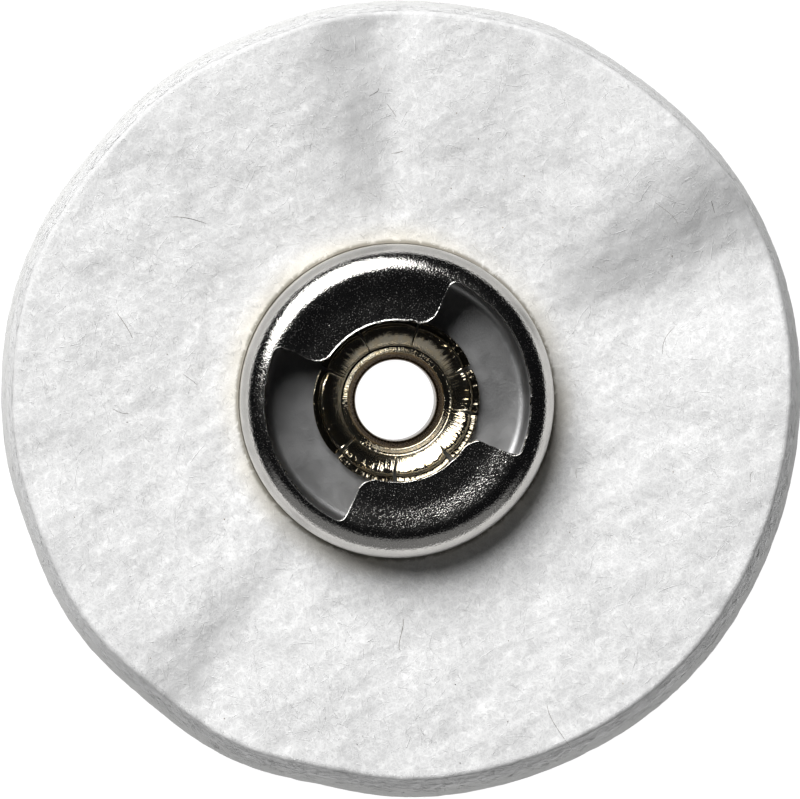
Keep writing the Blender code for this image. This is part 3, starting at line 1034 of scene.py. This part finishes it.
# %% Cap surface
SHEET = 0.36 * MM
SHOULDER = 0.90 * MM
FLAT_EDGE = cap_radius - SHOULDER
RING = 4.36 * MM  # outside this distance the cap is a plain turned shape
EDGE_ROLL = 0.028 * MM
BURR = 0.010 * MM  # raised lip that the punch leaves
EAR_DISH = 0.075 * MM
CRIMP_END = -35.0


def face_height(x, y, below=0.0):
    """Height of the face, or of the sheet's underside: flat, then the shoulder's circle.

    The ears are pressed down a little towards the middle, by dish times a smooth
    step over the distance from the axis.
    """
    r = np.hypot(x, y)
    bend = SHOULDER - below
    drop = bend - np.sqrt(bend ** 2 - np.clip(r - FLAT_EDGE, 0, bend) ** 2)
    dish = EAR_DISH * smooth((4.2 * MM - r) / (1.0 * MM))
    return cap_face - below - drop - dish


def across_face(t, below):
    """Rows of the face between the ring and the window: straight lines in plan."""
    ring = RING * np.stack([np.cos(rim_angle), np.sin(rim_angle)], -1)
    edge = outline + into_metal * EDGE_ROLL
    plan = ring[None] * (1 - t[:, None, None]) + edge[None] * t[:, None, None]
    return np.concatenate([plan, face_height(plan[..., 0], plan[..., 1], below)[..., None]], -1)


def torn_edge():
    """Rows down the punched edge: a quarter-round roll-over, a smooth band, then a tear."""
    along = share * 2 * np.pi
    wiggle = 0.014 * waves(np.cos(along) * 4, np.sin(along) * 4, 0.5, 51)
    wiggle = (wiggle + 0.009 * waves(np.cos(along) * 4, np.sin(along) * 4, 0.22, 52)) * MM
    a = np.radians(np.linspace(0, 90, 7))
    inset = np.concatenate([EDGE_ROLL * (1 - np.sin(a)), 0 * a[:3], 0.02 * MM * np.ones(3)])
    depth = np.concatenate([EDGE_ROLL * (1 - np.cos(a)), np.array([0.09, 0.13, 0.17]) * MM])
    depth[:7] -= BURR * np.array([0.3, 0.8, 1.0, 1.0, 0.8, 0.5, 0.2])
    depth = np.concatenate([depth, np.array([0.21, 0.27, 0.335]) * MM])
    strength = np.concatenate([np.linspace(0, 1, 7), np.ones(6)])
    tear = 0.012 * MM * waves(np.cos(along) * 4, np.sin(along) * 4, 0.15, 53)
    torn = np.concatenate([np.zeros(9), [1.0, 1.6, 1.6, 0.8]])
    shift = inset[:, None] + wiggle * strength[:, None] + tear * torn[:, None]
    plan = outline[None] + into_metal[None] * shift[..., None]
    height = face_height(plan[..., 0], plan[..., 1]) - depth[:, None]
    return np.concatenate([plan, height[..., None]], -1)


ring_turn = math.degrees(math.acos((RING - FLAT_EDGE) / SHOULDER))
bend_centre = (FLAT_EDGE, cap_face - SHOULDER)
outside = [arc(CRIMP_CENTRE, 1.10 * MM, CRIMP_END, 0.0, 12)]
outside.append(line((cap_radius, CRIMP_CENTRE[1] + 0.1 * MM), (cap_radius, cap_face - SHOULDER), 5))
outside.append(arc(bend_centre, SHOULDER, 0.0, ring_turn, 40)[:-1])
inner_turn = math.degrees(math.acos((RING - FLAT_EDGE) / (SHOULDER - SHEET)))
inside = [arc(bend_centre, SHOULDER - SHEET, inner_turn, 0.0, 12)[1:]]
inner_wall = cap_radius - SHEET
inside.append(line((inner_wall, cap_face - SHOULDER - 0.2 * MM), (inner_wall, CRIMP_CENTRE[1]), 4))
inside.append(arc(CRIMP_CENTRE, 0.74 * MM, 0.0, CRIMP_END, 8))
rows = [section_rows(np.concatenate(outside), rim_angle)]
rows.append(across_face(np.linspace(0, 1, 34) ** 0.9, 0.0)[:-1])
rows.append(torn_edge())
rows.append(across_face(np.linspace(1, 0, 10), SHEET))
rows.append(section_rows(np.concatenate(inside), rim_angle))
cap_points = np.concatenate(rows)

# %% [markdown]
# ## Bright plate
#
# Barrel-plated steel is a mirror with a skin like an orange: the polish is
# bright, but the face is never flat over a tenth of a millimetre, so a soft light
# breaks into specks at the edge of its reflection. Colour cannot show that, only
# a fine bump under a low roughness can. The real drawing of the sheet also
# stretches the grain, so it is a little coarser on the shoulder; the bump here
# keeps one grain size all over.

# %% Chrome
def chrome_finish():
    """A mirror with an orange-peel skin, a few pits and a fine sparkle."""
    made, shader, place = new_finish("bright_chrome_plate")
    peel = place.noise(0.060 * MM, 2.0, 0.5)
    broad = place.noise(0.5 * MM, 2.0)
    haze = place.noise(0.5 * MM, 4.0).band(0.35, 0.75)
    pits = place.node("ShaderNodeTexVoronoi", {}, {"Vector": place, "Scale": 1 / (0.30 * MM)}, "Distance")
    pit = (1 - pits.band(0.03, 0.11)) * haze
    height = peel + broad * 0.7 - pit * 0.8
    speck = place.noise(0.038 * MM, 1.0).band(0.58, 0.74)
    tint = haze.blend((0.60, 0.585, 0.56), (0.54, 0.53, 0.505))
    feed(shader, Base_Color=pit.blend(tint, (0.45, 0.43, 0.40)), Metallic=1.0)
    feed(shader, Roughness=0.11 + haze * 0.04 + pit * 0.10 + speck * 0.21)
    feed(shader, Normal=bumped(height, 0.0085 * MM))
    return made


add_grid("bright_cap", cap_points, chrome_finish(), "drive_cap")

# %% [markdown]
# ## The inner cup
#
# Through the window the floor of the inner cup shows as satin grey. It was drawn
# too, but never polished, so it scatters light. It is one sheet bent along a
# path and turned about the axis, with its thickness modelled, because the end of
# its wall shows when the wheel is looked at from the side.

# %% Cup
CUP_BOTTOM = 2.40 * MM
CUP_FLOOR = 2.76 * MM
CUP_TOP = 4.28 * MM
CUP_WALL = 4.62 * MM
TURN_COLUMNS = 360
turn_angle = np.linspace(0, 2 * np.pi, TURN_COLUMNS, endpoint=False)[None, :]

cup_section = np.concatenate([
    line((PIERCED - 0.01 * MM, CUP_FLOOR), (3.90 * MM, CUP_FLOOR), 40),
    arc(CRIMP_CENTRE, 0.36 * MM, -90.0, 0.0, 14),
    line((CUP_WALL - SHEET, 3.3 * MM), (CUP_WALL - SHEET, CUP_TOP - 0.05 * MM), 8),
    arc((CUP_WALL - SHEET / 2, CUP_TOP - 0.08 * MM), 0.08 * MM, 180.0, 0.0, 7),
    line((CUP_WALL, CUP_TOP - 0.15 * MM), (CUP_WALL, 3.12 * MM), 6),
    arc(CRIMP_CENTRE, 0.72 * MM, 0.0, -90.0, 12),
    line((3.8 * MM, CUP_BOTTOM), (PIERCED - 0.01 * MM, CUP_BOTTOM), 10),
])
cup_points = section_rows(cup_section, turn_angle)
r_cup = np.hypot(cup_points[..., 0], cup_points[..., 1])
floor_face = (cup_points[..., 2] > CUP_FLOOR - 0.02 * MM) & (r_cup < 3.9 * MM)
ripple = 0.0015 * MM * waves(cup_points[..., 0], cup_points[..., 1], 1.3 * MM, 61)
cup_points[..., 2] += np.where(floor_face, ripple, 0)


def satin_finish(name, pale, dark, roughness, grain, depth):
    """Dull steel: a fine even grain, faint rings of the drawing die, and cloudy colour."""
    made, shader, place = new_finish(name)
    fine = place.noise(grain, 3.0, 0.65)
    cloud = place.noise(1.2 * MM, 4.0, 0.6).band(0.3, 0.7)
    radius = from_axis(place)
    turned = {"W": radius / (0.06 * MM), "Detail": 2.0, "Scale": 1.0}
    rings = radius.node("ShaderNodeTexNoise", {"noise_dimensions": "1D"}, turned)
    feed(shader, Base_Color=cloud.blend(dark, pale), Metallic=1.0)
    feed(shader, Roughness=roughness - 0.06 + cloud * 0.08 + fine * 0.06)
    feed(shader, Normal=bumped(fine + rings * 0.35, depth))
    return made


CUP_GREYS = ((0.46, 0.46, 0.46), (0.42, 0.42, 0.42))
cup_look = satin_finish("satin_steel_cup", *CUP_GREYS, 0.38, 0.07 * MM, 0.0035 * MM)
add_grid("satin_cup", cup_points, cup_look, "hub_cup")

# %% [markdown]
# ## The eyelet
#
# A brass tube is pushed through the stack and its end is split by a star punch
# and rolled outwards. No two petals come out the same: they differ in width, in
# reach and in how far they curl. So each petal is a closed strip of its own,
# with its own spread about the mean, and they all root in one turned barrel.

# %% Eyelet
BORE = 1.285 * MM
WALL = 0.25 * MM
PETAL_WALL = 0.19 * MM  # rolling it out thins the tube
EYELET_FOOT = 0.15 * MM
SPLITS = np.array([3.75, 53.75, 97.75, 135.75, 201.75, 248.75, 293.75, 330.75])

barrel_section = np.concatenate([
    line((2.48 * MM, EYELET_FOOT + WALL), (1.75 * MM, EYELET_FOOT + WALL), 5),
    arc((1.70 * MM, 0.56 * MM), 0.16 * MM, 270.0, 180.0, 6),
    line((1.535 * MM, 0.75 * MM), (1.535 * MM, 2.7 * MM), 8),
    arc((1.835 * MM, 2.70 * MM), 0.30 * MM, 180.0, 128.0, 6),
    line((1.68 * MM, 2.95 * MM), (1.86 * MM, 3.05 * MM), 3),
    line((1.87 * MM, 3.12 * MM), (1.72 * MM, 3.075 * MM), 4),
    line((1.70 * MM, 3.07 * MM), (1.60 * MM, 3.095 * MM), 5),
    arc((1.56 * MM, 3.07 * MM), 0.035 * MM, 60.0, 150.0, 7),
    line((1.52 * MM, 3.07 * MM), (1.34 * MM, 2.72 * MM), 8),
    arc((1.60 * MM, 2.58 * MM), 0.315 * MM, 152.0, 180.0, 6),
    line((BORE, 2.5 * MM), (BORE, 0.60 * MM), 14),
    arc((1.62 * MM, 0.485 * MM), 0.335 * MM, 180.0, 270.0, 7),
    line((1.70 * MM, EYELET_FOOT), (2.48 * MM, EYELET_FOOT), 5),
    line((2.50 * MM, EYELET_FOOT + 0.03 * MM), (2.50 * MM, EYELET_FOOT + 0.22 * MM), 2),
])
barrel_points = section_rows(barrel_section, turn_angle)


def petal_surface(start, stop, reach, crest, opening, seed):
    """One petal between two splits, as rows round its section and columns across it.

    The top runs out and up to a crest and over it, and the underside is the same
    line moved down by the wall. The reach and the height fall off towards the
    sides by a fourth power, which rounds the petal's corners.
    """
    across = np.linspace(-1, 1, 48)[None, :]
    taper = 1 - 0.45 * across ** 4
    spread = MM * np.array([1.70, 1.78, 1.86, 1.95, 2.04, 2.13, 2.22,
                            2.30, 2.37, 2.43, 2.475, 2.50, 2.505, 2.49])
    rise = MM * np.array([3.04, 3.105, 3.16, 3.215, 3.265, 3.305, 3.34,
                          3.362, 3.37, 3.36, 3.33, 3.28, 3.20, 3.12])
    out = np.gradient(spread)
    up = np.gradient(rise)
    size = np.hypot(out, up)
    under = np.stack([spread - up / size * PETAL_WALL, rise - out / size * PETAL_WALL], -1)[::-1]
    section = np.concatenate([np.stack([spread, rise], -1), under])
    r, z = section[:, 0:1], section[:, 1:2]
    far = smooth((r - 1.8 * MM) / (0.7 * MM))
    r = r + (reach - 0.12 * MM * (1 - taper)) * far
    z = z + crest * far - 0.10 * MM * (1 - taper) * far
    middle, width = (start + stop) / 2, (stop - start) / 2
    gap = np.degrees(0.006 * MM + opening * smooth((r - 1.9 * MM) / (0.5 * MM))) / r
    wander = np.degrees(0.015 * MM * waves(r / MM, 0 * r, 0.5, seed)) / r
    angle = np.radians(middle + across * (width - gap) + wander)
    z = z + 0.006 * MM * waves(r * angle / MM, r / MM * 0.25, 0.16, seed + 9, 16) * far
    return np.stack([r * np.cos(angle), r * np.sin(angle), z + 0 * angle], -1)


def strip_faces(rows, columns):
    """Quads of a strip closed round its section and capped at both sides.

    A cap joins point i of the top with point i of the underside below it.
    """
    i, j = np.meshgrid(np.arange(rows), np.arange(columns - 1), indexing="ij")
    down = (i + 1) % rows
    body = np.stack([i * columns + j, down * columns + j, down * columns + j + 1, i * columns + j + 1], -1)
    k = np.arange(rows // 2 - 1)
    opposite = rows - 1 - k
    left = np.stack([k, opposite, opposite - 1, k + 1], -1) * columns
    right = left[:, ::-1] + columns - 1
    return np.concatenate([body.reshape(-1, 4), left[:, ::-1], right[:, ::-1]])


draw = np.random.default_rng(71)
all_points = [barrel_points.reshape(-1, 3)]
all_faces = [outward(all_points[0], grid_quads(*barrel_points.shape[:2]))]
offset = len(all_points[0])
for n, (start, stop) in enumerate(zip(SPLITS, np.append(SPLITS[1:], SPLITS[0] + 360))):
    spread, lift, opening = draw.uniform((-0.05, -0.06, 0.02), (0.01, 0.04, 0.07)) * MM
    petal = petal_surface(start, stop, spread, lift, opening, 72 + n)
    all_points.append(petal.reshape(-1, 3))
    all_faces.append(outward(all_points[-1], strip_faces(*petal.shape[:2])) + offset)
    offset += len(all_points[-1])


def brass_finish():
    """Thin bright plate worn down to brass, with painted shade on the petals' outer rim, and tarnished in
    the bore.
    """
    made, shader, place = new_finish("nickelled_brass_tube")
    x, y, z = coordinates(place)
    radius = from_axis(place)
    wear = place.noise(0.30 * MM, 4.0, 0.65, 0.5).band(0.42, 0.62)
    crest = z.band(3.30 * MM, 3.46 * MM)
    inside = 1 - radius.band(1.44 * MM, 1.53 * MM)
    bare = (wear * (0.25 + 0.75 * crest)).limited()
    fine = place.noise(0.05 * MM, 3.0, 0.6)
    bearing = y.maths("ARCTAN2", x)
    unrolled = {"X": bearing * (1.9 / 0.05), "Y": radius / (0.6 * MM)}
    lengthwise = place.node("ShaderNodeCombineXYZ", {}, unrolled)
    values = {"Vector": lengthwise, "Scale": 1.0}
    streak = lengthwise.node("ShaderNodeTexNoise", {"noise_dimensions": "2D"}, values)
    plated = bare.blend((0.64, 0.58, 0.455), (0.80, 0.58, 0.24))
    # Painted shade: the petals' outer rim goes dark brown, less on the crest.
    outer = radius.band(2.28 * MM, 2.47 * MM)
    plated = (outer * (1 - crest * 0.5) * 0.7).blend(plated, (0.12, 0.10, 0.07))
    tarnish = (fine.band(0.45, 0.7) * 0.5).blend((0.10, 0.075, 0.05), (0.40, 0.28, 0.13))
    feed(shader, Base_Color=inside.blend(plated, tarnish), Metallic=1.0)
    feed(shader, Roughness=0.09 + fine * 0.06 + inside * 0.15)
    feed(shader, Normal=bumped(fine + streak * 2.0, 0.004 * MM))
    return made


add_piece("split_eyelet", np.concatenate(all_points), np.concatenate(all_faces), brass_finish(),
          "eyelet")

# %% [markdown]
# ## The back washer
#
# The washer is a thick plain disc, dished in the middle so that the eyelet's
# flange lies below its flat rim. It is zinc plated, which is paler and duller than
# chrome. The real stamped edge is rounded on one side and torn on the other; here
# both corners are rounded.

# %% Washer
washer_section = np.concatenate([
    arc((4.92 * MM, 0.08 * MM), 0.08 * MM, -90.0, 0.0, 6),
    line((5.0 * MM, 0.10 * MM), (5.0 * MM, 0.42 * MM), 5),
    arc((4.92 * MM, 0.42 * MM), 0.08 * MM, 0.0, 90.0, 6),
    line((4.85 * MM, 0.50 * MM), (3.20 * MM, 0.50 * MM), 8),
    line((3.17 * MM, 0.51 * MM), (2.87 * MM, 0.81 * MM), 5),
    line((2.84 * MM, 0.92 * MM), (PIERCED, 0.92 * MM), 8),
    line((PIERCED, 0.90 * MM), (PIERCED, 0.43 * MM), 4),
    line((PIERCED + 0.03 * MM, 0.42 * MM), (2.66 * MM, 0.42 * MM), 8),
    arc((2.64 * MM, 0.32 * MM), 0.10 * MM, 80.0, 40.0, 4),
    line((2.75 * MM, 0.36 * MM), (3.05 * MM, 0.06 * MM), 4),
    arc((3.17 * MM, 0.14 * MM), 0.14 * MM, 225.0, 270.0, 5),
    line((3.3 * MM, 0.0), (4.90 * MM, 0.0), 10),
])
washer_points = section_rows(washer_section, turn_angle)
ZINC_GREYS = ((0.66, 0.67, 0.69), (0.52, 0.53, 0.54))
zinc_look = satin_finish("zinc_washer", *ZINC_GREYS, 0.34, 0.10 * MM, 0.004 * MM)
washer = add_grid("back_plate", washer_points, zinc_look, "backing_washer")
